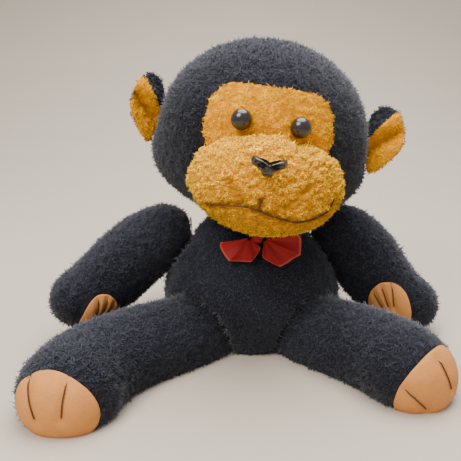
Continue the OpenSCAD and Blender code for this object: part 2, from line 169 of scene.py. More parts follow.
world = bpy.data.worlds.new("room")
world.use_nodes = True
world.node_tree.nodes["Background"].inputs["Color"].default_value = (0.93, 0.95, 1, 1)
world.node_tree.nodes["Background"].inputs["Strength"].default_value = 0.68
bpy.context.scene.world = world


def area_light(name, place, aim, size, watts, colour):
    """A round soft light at this place that faces the aim."""
    data = bpy.data.lights.new(name, "AREA")
    data.shape = "DISK"
    data.size = size
    data.energy = watts
    data.color = colour
    light = bpy.data.objects.new(name, data)
    light.location = place
    light.rotation_euler = (Vector(aim) - Vector(place)).to_track_quat("-Z", "Y").to_euler()
    bpy.context.scene.collection.objects.link(light)


area_light("window", (-0.5, -0.75, 1.0), (0, 0, 0.12), 0.7, 14, (1.0, 0.98, 0.95))
area_light("ceiling", (0.1, 0.0, 1.2), (0, 0, 0.1), 1.1, 26, (0.97, 0.98, 1.0))

# ---- Body --------------------------------------------------------------------------------
# A bag of black pile cloth round loose stuffing. The cloth is a woven backing that carries a
# short, thick, slightly curly pile, and its seams pull a little into the stuffing.
BACKING_VOXEL = 4 * MM      # grid of the remeshed cloth
SKIN_INSET = 1.3 * MM       # the backing lies this far inside the mean height of the pile
SWELL = 1.2 * MM            # the most that the stuffing pushes the cloth out
GROUND_CLEARANCE = 0.2 * MM  # no tuft reaches lower than this
SEAM_HALF = 3 * MM          # cloth this near to a seam is held by it
SOFTNESS = 0.72             # share of the skin's normal in the pile's
PRESSURE = 4                # of the stuffing on the cloth
CLOTH_FRAMES = 20
STUFFING_INSET = 2 * MM
STUFFING_VOXEL = 5 * MM


def points_of(obj):
    flat = np.empty(len(obj.data.vertices) * 3)
    obj.data.vertices.foreach_get("co", flat)
    return flat.reshape(-1, 3)


def move_points(obj, points):
    obj.data.vertices.foreach_set("co", points.ravel())
    obj.data.update()


def normals_of(obj):
    flat = np.empty(len(obj.data.vertices) * 3)
    obj.data.vertices.foreach_get("normal", flat)
    return flat.reshape(-1, 3)


def apply_modifier(obj, kind, **settings):
    bpy.context.view_layer.objects.active = obj
    modifier = obj.modifiers.new("step", kind)
    for name, value in settings.items():
        setattr(modifier, name, value)
    bpy.ops.object.modifier_apply(modifier=modifier.name)


def only(obj):
    """Leaves this object alone selected and active."""
    bpy.ops.object.select_all(action="DESELECT")
    obj.select_set(True)
    bpy.context.view_layer.objects.active = obj


def solid_tree(*nodes):
    """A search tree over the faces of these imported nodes."""
    points, faces = [], []
    for node in nodes:
        data = frame["nodes"][node].data
        faces += [[len(points) + i for i in face.vertices] for face in data.polygons]
        points += [vertex.co.copy() for vertex in data.vertices]
    return BVHTree.FromPolygons(points, faces)


def distances(tree, points, reach=1.0):
    """How far each point lies from the nearest face of the tree."""
    found = [tree.find_nearest(point, reach)[3] for point in points]
    return np.array([reach if distance is None else distance for distance in found])


def cloth_form(name, nodes, inset=SKIN_INSET, voxel=BACKING_VOXEL, rounds=6):
    """One closed skin round these nodes, smoothed and drawn in to where the backing lies."""
    bpy.ops.object.select_all(action="DESELECT")
    for node in nodes:
        copied = bpy.data.objects.new(name, frame["nodes"][node].data.copy())
        bpy.context.scene.collection.objects.link(copied)
        copied.select_set(True)
        bpy.context.view_layer.objects.active = copied
    if len(nodes) > 1:
        bpy.ops.object.join()
    skin = bpy.context.object
    skin.name = name
    skin.data.materials.clear()
    only(skin)
    bpy.ops.object.mode_set(mode="EDIT")
    bpy.ops.mesh.select_all(action="SELECT")
    bpy.ops.mesh.remove_doubles(threshold=0.00001)
    bpy.ops.object.mode_set(mode="OBJECT")
    apply_modifier(skin, "REMESH", mode="VOXEL", voxel_size=voxel)
    # The voxel skin keeps a pocket inside as a second island: only the outer one is kept.
    bpy.ops.object.mode_set(mode="EDIT")
    bpy.ops.mesh.select_all(action="DESELECT")
    bpy.ops.object.mode_set(mode="OBJECT")
    skin.data.vertices[int(points_of(skin)[:, 0].argmax())].select = True
    bpy.ops.object.mode_set(mode="EDIT")
    bpy.ops.mesh.select_linked()
    bpy.ops.mesh.select_all(action="INVERT")
    bpy.ops.mesh.delete(type="VERT")
    bpy.ops.object.mode_set(mode="OBJECT")
    apply_modifier(skin, "SMOOTH", factor=0.5, iterations=rounds)
    apply_modifier(skin, "DISPLACE", strength=-inset, mid_level=0.0)
    return skin


def stuff(skin, held):
    """Presses the cloth out from inside with its seams held, then subdivides it once."""
    before = points_of(skin)
    seam = skin.vertex_groups.new(name="seam")
    seam.add([int(i) for i in np.flatnonzero(held)], 1.0, "REPLACE")
    cloth = skin.modifiers.new("stuffing", "CLOTH")
    cloth.settings.use_pressure = True
    cloth.settings.uniform_pressure_force = PRESSURE
    cloth.settings.effector_weights.gravity = 0
    cloth.settings.vertex_group_mass = "seam"
    cloth.settings.quality = 4
    cloth.collision_settings.use_collision = False
    for number in range(1, CLOTH_FRAMES + 1):
        bpy.context.scene.frame_set(number)
    only(skin)
    bpy.ops.object.modifier_apply(modifier=cloth.name)
    bpy.context.scene.frame_set(1)
    travel = points_of(skin) - before
    length = np.linalg.norm(travel, axis=1, keepdims=True) + 1e-9
    move_points(skin, before + travel * np.minimum(1, SWELL / length))
    skin.vertex_groups.clear()
    only(skin)
    apply_modifier(skin, "SUBSURF", levels=1, render_levels=1)
    bpy.ops.object.shade_smooth()


def press(obj, path, width, depth):
    """Presses a soft groove into a skin along a line of points."""
    line = np.array(path, float)
    points = points_of(obj)
    nearest = np.full(len(points), 1.0)
    for first, second in zip(line[:-1], line[1:]):
        step = second - first
        share = np.clip((points - first) @ step / (step @ step), 0, 1)
        gap = np.linalg.norm(points - first - share[:, None] * step, axis=1)
        nearest = np.minimum(nearest, gap)
    deep = depth * np.exp(-((nearest / width) ** 2))
    move_points(obj, points - normals_of(obj) * deep[:, None])


def stuffing_under(name, node, body):
    """The loose stuffing that fills a cover, well under its cloth."""
    filling = cloth_form(name, [node], inset=STUFFING_INSET, voxel=STUFFING_VOXEL, rounds=12)
    bpy.ops.object.shade_smooth()
    filling.data.materials.append(white_stuffing)
    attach(filling, body)
    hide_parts(node)


def make_tuft():
    """One tuft of pile, 1 long along +Z: a three-sided spindle, fullest above its middle."""
    bpy.ops.object.select_all(action="DESELECT")
    bpy.ops.mesh.primitive_cone_add(vertices=3, radius1=1, radius2=0, depth=0.42,
                                    end_fill_type="TRIFAN", location=(0, 0, 0.79))
    tuft = bpy.context.object
    bpy.ops.object.transform_apply(location=True, rotation=False, scale=False)
    points = points_of(tuft)
    ends = np.hypot(points[:, 0], points[:, 1]) < 0.01
    points[ends & (points[:, 2] < 0.9), 2] = 0
    faces = np.array([list(face.vertices) for face in tuft.data.polygons])
    bpy.data.objects.remove(tuft)
    return points, faces


tuft_points, tuft_faces = make_tuft()


def lean_field(points, size, seed):
    """A sideways vector that wanders smoothly over the skin, so that tufts lean in clumps."""
    waves = np.random.default_rng(seed)
    total = np.zeros_like(points)
    for _ in range(14):
        direction = waves.normal(size=3)
        direction *= 2 * math.pi / (size * waves.uniform(0.6, 1.6)) / np.linalg.norm(direction)
        total += np.sin(points @ direction + waves.uniform(0, 6.3))[:, None] * waves.normal(size=3)
    return total / 3.2


perlin.seed_set(5)          # without it, noise_vector differs from run to run


def nubs(points, size):
    """Rounded lumps of pile with sharp valleys between them, from -1 to 1; size is the three
    sides of a lump."""
    found = []
    for point in points / np.array(size):
        place = Vector(point)
        place += perlin.noise_vector(place * 0.6) * 0.7
        found.append(abs(perlin.noise(place)) * 3.4 - 0.8)
    return np.clip(found, -1, 1)


MOST_TUFTS = 42000          # on one piece
CURL = 0.8                  # how far a tuft bends, as a share of its length
FLUFF_REACH = 9 * MM        # fluffy tufts grow longer this near to the next piece
SKIN_SHARE = 0.2            # of the UV map's width


def grow_pile(skin, material, spacing, length, width, seed, bare=(), comb=(0, 0, -0.5),
              clump=7 * MM, trim=None, lump=(4.5, 4.5, 3.5), relief=0.6, softness=SOFTNESS,
              painted_shade_offset=0.0, fluffy=False):
    """Covers a skin with tufts of pile and joins them to it. No tuft grows within reach of a
    bare tree, trim says what share of its length is left at each root, and its shade offset
    argument lightens or darkens the whole piece as painted shade. Each tuft's brightness carries
    painted shade too: darker in the valleys between lumps, where the pile is trimmed short, and
    on fluffy pieces next to the piece sewn on. Each tuft has its own cell of the piece's UV map."""
    lump = np.array(lump) * MM
    points = points_of(skin)
    move_points(skin, points + normals_of(skin) * (nubs(points, lump) * relief * MM)[:, None])
    skin.data.calc_loop_triangles()
    points, normals = points_of(skin), normals_of(skin)
    corners = np.array([list(t.vertices) for t in skin.data.loop_triangles])
    a, b, c = (points[corners[:, k]] for k in range(3))
    areas = np.linalg.norm(np.cross(b - a, c - a), axis=1) / 2
    count = int(min(MOST_TUFTS, areas.sum() / spacing ** 2))
    draw = np.random.default_rng(seed)
    steps = np.cumsum(areas)
    picked = np.searchsorted(steps, (np.arange(count) + draw.random(count)) / count * steps[-1])
    picked = np.minimum(picked, len(corners) - 1)
    u, v = np.sqrt(draw.random(count)), draw.random(count)
    weights = np.stack([1 - u, u * (1 - v), u * v], axis=1)[:, :, None]
    roots = (points[corners[picked]] * weights).sum(axis=1)
    up = (normals[corners[picked]] * weights).sum(axis=1)
    up /= np.linalg.norm(up, axis=1, keepdims=True)
    keep = np.ones(count, bool)
    for tree, reach in bare:
        keep &= distances(tree, roots + up * length * 0.5, 20 * MM) > reach
    roots, up = roots[keep], up[keep]
    count = len(roots)
    high = nubs(roots, lump)
    lean = (lean_field(roots, clump, seed) * 0.75 + np.array(comb)
            + draw.normal(size=(count, 3)) * 0.28)
    lean -= up * (lean * up).sum(axis=1, keepdims=True)
    ahead = up + lean * 1.7
    ahead /= np.linalg.norm(ahead, axis=1, keepdims=True)
    side = np.cross(ahead, draw.normal(size=(count, 3)))
    side /= np.linalg.norm(side, axis=1, keepdims=True)
    across = np.cross(ahead, side)
    bend = np.cross(ahead, draw.normal(size=(count, 3))) * CURL
    tall = length * draw.uniform(0.7, 1.1, count) * (1 + 0.15 * high)
    if fluffy:
        # Where another piece is sewn on, longer tufts close the seam between the two, and the pile
        # there is painted darker as painted shade between the pieces.
        gap = distances(bare[0][0], roots, FLUFF_REACH) / FLUFF_REACH
        tall = tall * (1 + 1.3 * (1 - gap))
        painted_shade_offset = painted_shade_offset - 0.9 * (1 - gap)
    # Painted shade: tufts in the valleys between the lumps are darker and those on top lighter,
    # added to each tuft's random brightness.
    tone_and_painted_shade = painted_shade_offset + draw.random(count) * 0.4 + 0.3 + high * 0.35
    if trim is not None:
        left_over = trim(roots)
        tall = tall * left_over
        # Painted shade: pile trimmed short in a crease or fold is painted darker.
        tone_and_painted_shade += (left_over - 1) * 1.3
    wide = width / 2 * draw.uniform(0.75, 1.25, count)
    x, y, z = (tuft_points[:, k][None, :, None] for k in range(3))
    body = (roots[:, None] + wide[:, None, None] * (x * side[:, None] + y * across[:, None])
            + tall[:, None, None] * (z * ahead[:, None] + z * z * bend[:, None]))
    body[:, :, 2] = np.maximum(body[:, :, 2], GROUND_CLEARANCE)
    faces = tuft_faces[None] + (np.arange(count) * len(tuft_points))[:, None, None]
    loops = faces.reshape(-1)
    # Light falls on the pile as on one soft surface, so its normals lean towards the skin's own.
    outward = x * side[:, None] + y * across[:, None]
    outward /= np.linalg.norm(outward, axis=2, keepdims=True) + 1e-9
    soft = outward * (1 - softness) + up[:, None] * softness + ahead[:, None] * z * 0.15
    soft /= np.linalg.norm(soft, axis=2, keepdims=True)
    pile = bpy.data.meshes.new(skin.name + "_pile")
    pile.vertices.add(count * len(tuft_points))
    pile.vertices.foreach_set("co", body.ravel())
    pile.loops.add(len(loops))
    pile.loops.foreach_set("vertex_index", loops)
    pile.polygons.add(len(loops) // 3)
    pile.polygons.foreach_set("loop_start", np.arange(0, len(loops), 3))
    pile.polygons.foreach_set("loop_total", np.full(len(loops) // 3, 3))
    pile.update(calc_edges=True)
    along = pile.attributes.new("along", "FLOAT", "POINT")
    along.data.foreach_set("value", np.tile(tuft_points[:, 2], count))
    strand = pile.attributes.new("strand", "FLOAT", "POINT")
    strand.data.foreach_set("value", np.repeat(tone_and_painted_shade, len(tuft_points)))
    # The map's left fifth belongs to the skin, and the rest is one small cell for each tuft.
    rows = math.ceil(math.sqrt(count / (1 - SKIN_SHARE)))
    columns = math.ceil(count / rows)
    number = np.arange(count)
    turn = np.arctan2(tuft_points[:, 1], tuft_points[:, 0]) / math.tau + 0.5
    cell = np.stack([turn * 0.8 + 0.1, tuft_points[:, 2] * 0.8 + 0.1], axis=1)
    origin = np.stack([number // rows, number % rows], axis=1)
    place = (origin[:, None] + cell[None]) / np.array([columns, rows])
    place[:, :, 0] = SKIN_SHARE + (1 - SKIN_SHARE) * place[:, :, 0]
    bake = pile.uv_layers.new(name="OFBake")
    bake.data.foreach_set("uv", place.reshape(-1, 2)[loops].astype(np.float32).ravel())
    pile.polygons.foreach_set("use_smooth", np.ones(len(loops) // 3, bool))
    pile.normals_split_custom_set_from_vertices(soft.reshape(-1, 3))
    tufts = bpy.data.objects.new("tufts", pile)
    bpy.context.scene.collection.objects.link(tufts)
    # The skin under the tufts gets the root end of the ramp, its darkest painted shade, and a
    # middle value.
    for name, value in (("along", 0.0), ("strand", 0.5)):
        if name not in skin.data.attributes:
            plain = skin.data.attributes.new(name, "FLOAT", "POINT")
            plain.data.foreach_set("value", np.full(len(skin.data.vertices), value))
    if "OFBake" not in skin.data.uv_layers:
        only(skin)
        skin.data.uv_layers.new(name="OFBake")
        bpy.ops.object.mode_set(mode="EDIT")
        bpy.ops.mesh.select_all(action="SELECT")
        bpy.ops.uv.smart_project(angle_limit=1.15, island_margin=0.01)
        bpy.ops.object.mode_set(mode="OBJECT")
        corner = np.empty(len(skin.data.loops) * 2, np.float32)
        skin.data.uv_layers["OFBake"].data.foreach_get("uv", corner)
        corner[0::2] *= SKIN_SHARE - 0.01
        skin.data.uv_layers["OFBake"].data.foreach_set("uv", corner)
        skin.data.materials.clear()
        skin.data.materials.append(material)
    tufts.data.materials.append(material)
    only(skin)
    tufts.select_set(True)
    bpy.ops.object.join()
    return skin


def pile_cloth(name, root, body, tip, wander, tint, sheen):
    """Pile cloth with painted shade: dark down between the tufts and lighter at their tips, no two
    tufts quite alike, each tuft's value adding painted shade in valleys, creases and seams.
    """
    made, surface, start = new_material(name, 0.75, Sheen_Weight=sheen, Sheen_Roughness=0.5,
                                        Specular_IOR_Level=0.08)
    along = start.node("Attribute", {"attribute_name": "along"}, output="Fac")
    strand = start.node("Attribute", {"attribute_name": "strand"}, output="Fac")
    # Painted shade: the colour runs from near black at the roots to light at the tips, standing in
    # for the shade that falls down between the tufts.
    height = start.node("ValToRGB", {"stops": [(0.1, root), (1.0, tip), (0.55, body)]},
                        {"Fac": along})
    patches = noise(start, wander) * 1.4 - 0.2
    worn = blend_colours(start, patches * 0.7, height, blend_colours(start, 0.5, height, tint))
    # Each tuft's value is its random brightness plus painted shade in the valleys, creases and
    # seams, multiplied into the colour.
    light = strand * 0.7 + 0.65
    tone_and_shade_grey = start.node("CombineColor", {}, {0: light, 1: light, 2: light})
    start.node("Mix", {"data_type": "RGBA", "blend_type": "MULTIPLY"},
               {0: 1.0, 6: worn, 7: tone_and_shade_grey}, output=2).into(surface, "Base Color")
    (along * -0.1 + 0.8).into(surface, "Roughness")
    return made


black_pile = pile_cloth("black_pile", (0.003, 0.003, 0.005, 1), (0.016, 0.017, 0.023, 1),
                        (0.050, 0.052, 0.072, 1), 0.05, (0.056, 0.058, 0.078, 1), 0.25)

white_stuffing, surface, start = new_material("white_stuffing", 0.95)
blend_colours(start, noise(start, 0.006), (0.8, 0.79, 0.76, 1), (0.9, 0.89, 0.86, 1)).into(
    surface, "Base Color")

PILE_LENGTH = 2.6 * MM
PILE_WIDTH = 0.95 * MM
PILE_SPACING = 1.15 * MM
NEXT_PIECE = 0.3 * MM       # tufts stop this far from the piece that is sewn on
arms = ["arm_cover_left", "arm_cover_right"]
legs = ["leg_cover_left", "leg_cover_right"]

torso = cloth_form("torso_cover_cloth", ["torso_cover", "torso_filling"])
at = points_of(torso)
stuff(torso, (np.abs(at[:, 0]) < SEAM_HALF) | (np.abs(at[:, 1]) < SEAM_HALF)
      | (at[:, 2] < SEAM_HALF))
stuffing_under("torso_stuffing", "torso_filling", "torso")
grow_pile(torso, black_pile, PILE_SPACING, PILE_LENGTH, PILE_WIDTH, 11, fluffy=True,
          bare=[(solid_tree("head_cover", *arms, *legs), NEXT_PIECE)])
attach(torso, "torso")
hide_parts("torso_cover")

# ---- Head --------------------------------------------------------------------------------
# A ball of the same black cloth, its front cut away for the golden mask, wider at the cheeks.
on_mask = solid_tree("face_panel")
on_head = solid_tree("head_cover")
ears = ["ear_back_left", "ear_back_right", "ear_lining_left", "ear_lining_right"]

head = cloth_form("head_cover_cloth", ["head_cover", "face_panel", "head_filling"])
at = points_of(head)
gusset = 34 * MM            # half the width of the strip over the crown
stuff(head, np.abs(np.abs(at[:, 0]) - gusset) < SEAM_HALF)
stuffing_under("head_stuffing", "head_filling", "head")

only(head)
bpy.ops.object.mode_set(mode="EDIT")
bpy.ops.mesh.select_all(action="DESELECT")
bpy.ops.object.mode_set(mode="OBJECT")
middles = [face.center for face in head.data.polygons]
in_mask = distances(on_mask, middles) < distances(on_head, middles)
for face, inside in zip(head.data.polygons, in_mask):
    face.select = bool(inside)
bpy.ops.object.mode_set(mode="EDIT")
bpy.ops.mesh.separate(type="SELECTED")
bpy.ops.object.mode_set(mode="OBJECT")
mask = [o for o in bpy.context.selected_objects if o is not head][0]
mask.name = "face_panel_cloth"

grow_pile(head, black_pile, PILE_SPACING, PILE_LENGTH, PILE_WIDTH, 12, fluffy=True,
          bare=[(solid_tree("torso_cover", *arms), NEXT_PIECE), (solid_tree(*ears), NEXT_PIECE),
                (solid_tree("upper_muzzle", "chin"), 0.8 * MM)])
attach(head, "head")
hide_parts("head_cover")

# ---- Brow mask ---------------------------------------------------------------------------
# Golden pile cloth let into the front of the head, brushed smooth, with a hole for each eye.
gold_pile = pile_cloth("gold_pile", (0.72, 0.27, 0.004, 1), (0.98, 0.45, 0.006, 1),
                       (1.0, 0.57, 0.012, 1), 0.03, (0.94, 0.39, 0.002, 1), 0.0)
eyes = solid_tree("eye_left", "eye_right")
apply_modifier(mask, "SUBSURF", levels=1, render_levels=1)
grow_pile(mask, gold_pile, 0.85 * MM, 1.7 * MM, 0.85 * MM, 13, comb=(0, 0, -0.9), clump=9 * MM,
          lump=(6, 6, 4), relief=0.45, softness=0.9,
          bare=[(solid_tree("upper_muzzle", "chin"), 0.5 * MM), (eyes, 0.6 * MM)])
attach(mask, "head")
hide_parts("face_panel")

# ---- Muzzle ------------------------------------------------------------------------------
# A stuffed golden muzzle in two pieces, sewn together along the mouth, with curlier pile that
# stands in lumps, a stitched line from the nose to the mouth and soft creases beside it.
muzzle = cloth_form("upper_muzzle_cloth", ["upper_muzzle", "chin", "muzzle_filling"],
                    inset=1.4 * MM, voxel=3.5 * MM)
at = points_of(muzzle)
stuff(muzzle, np.zeros(len(at), bool))
stuffing_under("muzzle_stuffing", "muzzle_filling", "head")

eye_at = {side: sum(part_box("eye_" + side), Vector()) / 2 for side in ("left", "right")}
across = (eye_at["left"] - eye_at["right"]).normalized()
forward = Vector((0, -1, 0))
upright = forward.cross(across).normalized()
nose_low, nose_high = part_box("nose")
nose_at = Vector(((nose_low.x + nose_high.x) / 2, nose_low.y, (nose_low.z + nose_high.z) / 2))
muzzle_tree = BVHTree.FromPolygons([v.co.copy() for v in muzzle.data.vertices],
                                   [list(f.vertices) for f in muzzle.data.polygons])


def on_muzzle(x, z):
    """The muzzle's cloth at this many millimetres to the toy's left of the nose and above it."""
    start = nose_at + across * x * MM + upright * z * MM + forward * 0.05
    return muzzle_tree.ray_cast(start, -forward)[0]


def muzzle_line(places, steps=10):
    """A smooth line over the muzzle through these places, as points on its cloth."""
    places = np.array(places, float)
    spans = np.arange(len(places))
    fine = np.linspace(0, len(places) - 1, (len(places) - 1) * steps + 1)
    smooth = [np.interp(fine, spans, places[:, k]) for k in (0, 1)]
    for _ in range(steps):
        for line in smooth:
            line[1:-1] = (line[:-2] + line[1:-1] * 2 + line[2:]) / 4
    return [p for p in (on_muzzle(x, z) for x, z in zip(*smooth)) if p is not None]


mouth = muzzle_line([(-38, -33), (-29, -31), (-13, -28), (-1, -30), (10, -33), (27, -36),
                     (38, -33), (50, -26), (52, -16)])
lip = muzzle_line([(-1, -21), (-1, -30)])
crease_right = muzzle_line([(-24, -13), (-18, -20), (-12, -27)])
crease_left = muzzle_line([(31, -9), (26, -17), (19, -23), (9, -29)])
press(muzzle, mouth, 2.6 * MM, 3.4 * MM)
press(muzzle, lip, 2 * MM, 2 * MM)
press(muzzle, crease_right, 2.4 * MM, 2.2 * MM)
press(muzzle, crease_left, 2.4 * MM, 2.0 * MM)

mouth_line = np.array([((p - nose_at).dot(across), (p - nose_at).dot(upright)) for p in mouth])
only(muzzle)
bpy.ops.object.mode_set(mode="EDIT")
bpy.ops.mesh.select_all(action="DESELECT")
bpy.ops.object.mode_set(mode="OBJECT")
for face in muzzle.data.polygons:
    offset = face.center - nose_at
    face.select = bool(offset.dot(upright) < np.interp(offset.dot(across), *mouth_line.T))
bpy.ops.object.mode_set(mode="EDIT")
bpy.ops.mesh.separate(type="SELECTED")
bpy.ops.object.mode_set(mode="OBJECT")
chin = [o for o in bpy.context.selected_objects if o is not muzzle][0]
chin.name = "chin_cloth"

creases = np.array([list(p) for line in (mouth, lip, crease_right, crease_left) for p in line])


def near_creases(roots):
    """The share of the pile's length that is left in the seams and creases of the muzzle; where it
    is short, grow_pile also paints the pile darker as painted shade in the creases.
    """
    gaps = np.array([np.linalg.norm(creases - root, axis=1).min() for root in roots])
    return 1 - 0.85 * np.exp(-((gaps / (2.7 * MM)) ** 2))


gold_curls = pile_cloth("gold_curls", (0.60, 0.19, 0.010, 1), (1.0, 0.52, 0.012, 1),
                        (1.0, 0.70, 0.07, 1), 0.02, (0.96, 0.43, 0.004, 1), 0.0)
nose_tree = solid_tree("nose")
# The chin's pile gets a negative shade offset: painted shade under the muzzle, which faces down.
for piece, node, comb, lump, relief, painted_shade_offset in (
        (muzzle, "upper_muzzle", (0, 0, -0.5), (6.5, 6.5, 3.6), 1.2, 0.0),
        (chin, "chin", (0, 0.3, -0.6), (4.5, 4.5, 3.5), 0.4, -0.42)):
    only(piece)
    apply_modifier(piece, "SUBSURF", levels=1, render_levels=1)
    grow_pile(piece, gold_curls, 0.9 * MM, 1.4 * MM, 0.95 * MM, 14, comb=comb, clump=4.5 * MM,
              trim=near_creases, lump=lump, relief=relief, softness=0.88, painted_shade_offset=painted_shade_offset,
              bare=[(on_head, 0.6 * MM), (nose_tree, 0.5 * MM)])
    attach(piece, "head")
    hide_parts(node)

# ---- Mouth stitching ---------------------------------------------------------------------
# Dark brown thread, pulled tight in the mouth seam and up towards the nose.
brown_thread, surface, start = new_material("brown_thread", 0.6)
blend_colours(start, noise(start, 0.0015), (0.035, 0.010, 0.003, 1), (0.09, 0.03, 0.007, 1)).into(
    surface, "Base Color")


END_RADIUS = 0.45           # share of a thread's radius that is left at its ends


def sew(name, lines, radius):
    """One mesh of thread: a tube along each line, thinner where it goes into the cloth."""
    curve = bpy.data.curves.new(name, "CURVE")
    curve.dimensions = "3D"
    curve.bevel_depth = radius
    curve.bevel_resolution = 1
    for line in lines:
        spline = curve.splines.new("POLY")
        spline.points.add(len(line) - 1)
        for index, (point, place) in enumerate(zip(spline.points, line)):
            point.co = (*place, 1)
            edge = min(index, len(line) - 1 - index)
            point.radius = END_RADIUS if edge == 0 else 1.0
    made = bpy.data.objects.new(name, curve)
    bpy.context.scene.collection.objects.link(made)
    only(made)
    bpy.ops.object.convert(target="MESH")
    made = bpy.context.object
    bpy.ops.object.shade_smooth()
    return made


def stitch_rows(line, stitch, gap):
    """Cuts a line of points into stitches with gaps, both counted in points."""
    return [line[i:i + stitch] for i in range(0, len(line) - 2, stitch + gap - 1)
            if len(line[i:i + stitch]) > 1]


proud = forward * 0.7 * MM
seam = sew("mouth_thread", stitch_rows([p + proud for p in mouth], 9, 0)
           + [[p + proud for p in lip]], 0.7 * MM)
seam.data.materials.append(brown_thread)
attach(seam, "head")
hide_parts("mouth_stitching")

# ---- Eyes --------------------------------------------------------------------------------
# Moulded domes of dark brown, glossy plastic with a thin flange pressed into the mask.
dark_plastic, surface, start = new_material("dark_plastic", 0.22, Coat_Weight=0.35,
                                            Coat_Roughness=0.06)
blend_colours(start, noise(start, 0.004), (0.013, 0.009, 0.007, 1), (0.024, 0.016, 0.012, 1)).into(
    surface, "Base Color")

FLANGE = 1.2 * MM
for side in ("left", "right"):
    node = "eye_" + side
    low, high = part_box(node)
    size = high.x - low.x
    centre = Vector(((low.x + high.x) / 2, low.y + size / 2, (low.z + high.z) / 2))
    bpy.ops.object.select_all(action="DESELECT")
    bpy.ops.mesh.primitive_uv_sphere_add(segments=48, ring_count=24, radius=size / 2)
    dome = bpy.context.object
    dome.name = node + "_dome"
    at = points_of(dome)
    reach = np.hypot(at[:, 0], at[:, 1])
    flange = at[:, 2] < 0
    at[:, 2] = np.where(flange, -FLANGE * (reach / (size / 2) < 0.98), at[:, 2] * 0.92)
    move_points(dome, at)
    dome.data.transform(Matrix.Translation(centre + Vector((0, -FLANGE, 0)))
                        @ Matrix.Rotation(math.radians(90), 4, "X"))
    only(dome)
    bpy.ops.object.shade_smooth()
    dome.data.materials.append(dark_plastic)
    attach(dome, "head")
    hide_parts(node)

# ---- Nose --------------------------------------------------------------------------------
# One moulding of the same plastic: two wings with a hollow in each, and a ridge between them
# that runs down to a small foot.
NOSE_WIDE = 25.6 * MM
NOSE_TALL = 13.8 * MM
NOSE_AROUND = 96            # points round the edge
NOSE_RINGS = 14


def nose_outline(angle):
    """The moulding's edge, as a share of its width and height from its middle."""
    places = [(0.0, 0.20), (0.18, 0.32), (0.36, 0.48), (0.46, 0.44), (0.5, 0.24), (0.45, 0.02),
              (0.30, -0.12), (0.18, -0.26), (0.13, -0.50), (0.0, -0.54)]
    ring = places + [(-x, y) for x, y in places[-2:0:-1]]
    turns = [math.atan2(x, y + 0.02) % math.tau for x, y in ring]
    x, y = (np.interp(angle % math.tau, turns + [math.tau], [p[k] for p in ring] + [ring[0][k]])
            for k in (0, 1))
    return x, y


def bump(away, reach):
    """A rounded step from 1 down to 0 over about this reach."""
    return math.exp(-((away / reach) ** 2))


def nose_height(x, y, share):
    """How far the moulding stands out: crowned, with a Y of ridges and a hollow in each wing."""
    across_wing = (y - 0.08 - 0.62 * abs(x)) * 0.85
    ridges = 0.16 * bump(across_wing, 0.07) + 0.14 * bump(x, 0.05) * (y < 0.12)
    away = math.hypot((abs(x) - 0.21) / 0.12, (y - 0.02 - 0.3 * (abs(x) - 0.21)) / 0.13)
    return 0.42 * (1 - share ** 4) + (ridges - 0.30 * bump(away, 1)) * (1 - share ** 8)


bpy.ops.object.select_all(action="DESELECT")
bpy.ops.mesh.primitive_circle_add(vertices=NOSE_AROUND, radius=1, fill_type="NOTHING")
nose = bpy.context.object
nose.name = "nose_moulding"
bpy.ops.object.mode_set(mode="EDIT")
bpy.ops.mesh.select_all(action="SELECT")
for _ in range(NOSE_RINGS):
    bpy.ops.mesh.extrude_region_move()
    bpy.ops.transform.resize(value=(0.999, 0.999, 0.999))
bpy.ops.mesh.merge(type="CENTER")
bpy.ops.object.mode_set(mode="OBJECT")
at = points_of(nose)
for index in range(len(at)):
    share = 1 - min(index // NOSE_AROUND, NOSE_RINGS) / NOSE_RINGS
    angle = index % NOSE_AROUND / NOSE_AROUND * math.tau
    x, y = (value * share for value in nose_outline(angle))
    at[index] = (x * NOSE_WIDE, y * NOSE_TALL, nose_height(x, y, share) * NOSE_TALL)
move_points(nose, at)
tilt = math.atan2(-across.z, across.x)
nose.data.transform(Matrix.Translation(nose_at + upright * 1.5 * MM - forward * 1.2 * MM)
                    @ Matrix.Rotation(tilt, 4, "Y") @ Matrix.Rotation(math.radians(90), 4, "X"))
only(nose)
apply_modifier(nose, "SOLIDIFY", thickness=3 * MM, offset=-1)
apply_modifier(nose, "SUBSURF", levels=1, render_levels=1)
bpy.ops.object.mode_set(mode="EDIT")
bpy.ops.mesh.select_all(action="SELECT")
bpy.ops.mesh.normals_make_consistent(inside=False)
bpy.ops.object.mode_set(mode="OBJECT")
bpy.ops.object.shade_smooth()
nose.data.materials.append(dark_plastic)
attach(nose, "head")
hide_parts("nose")

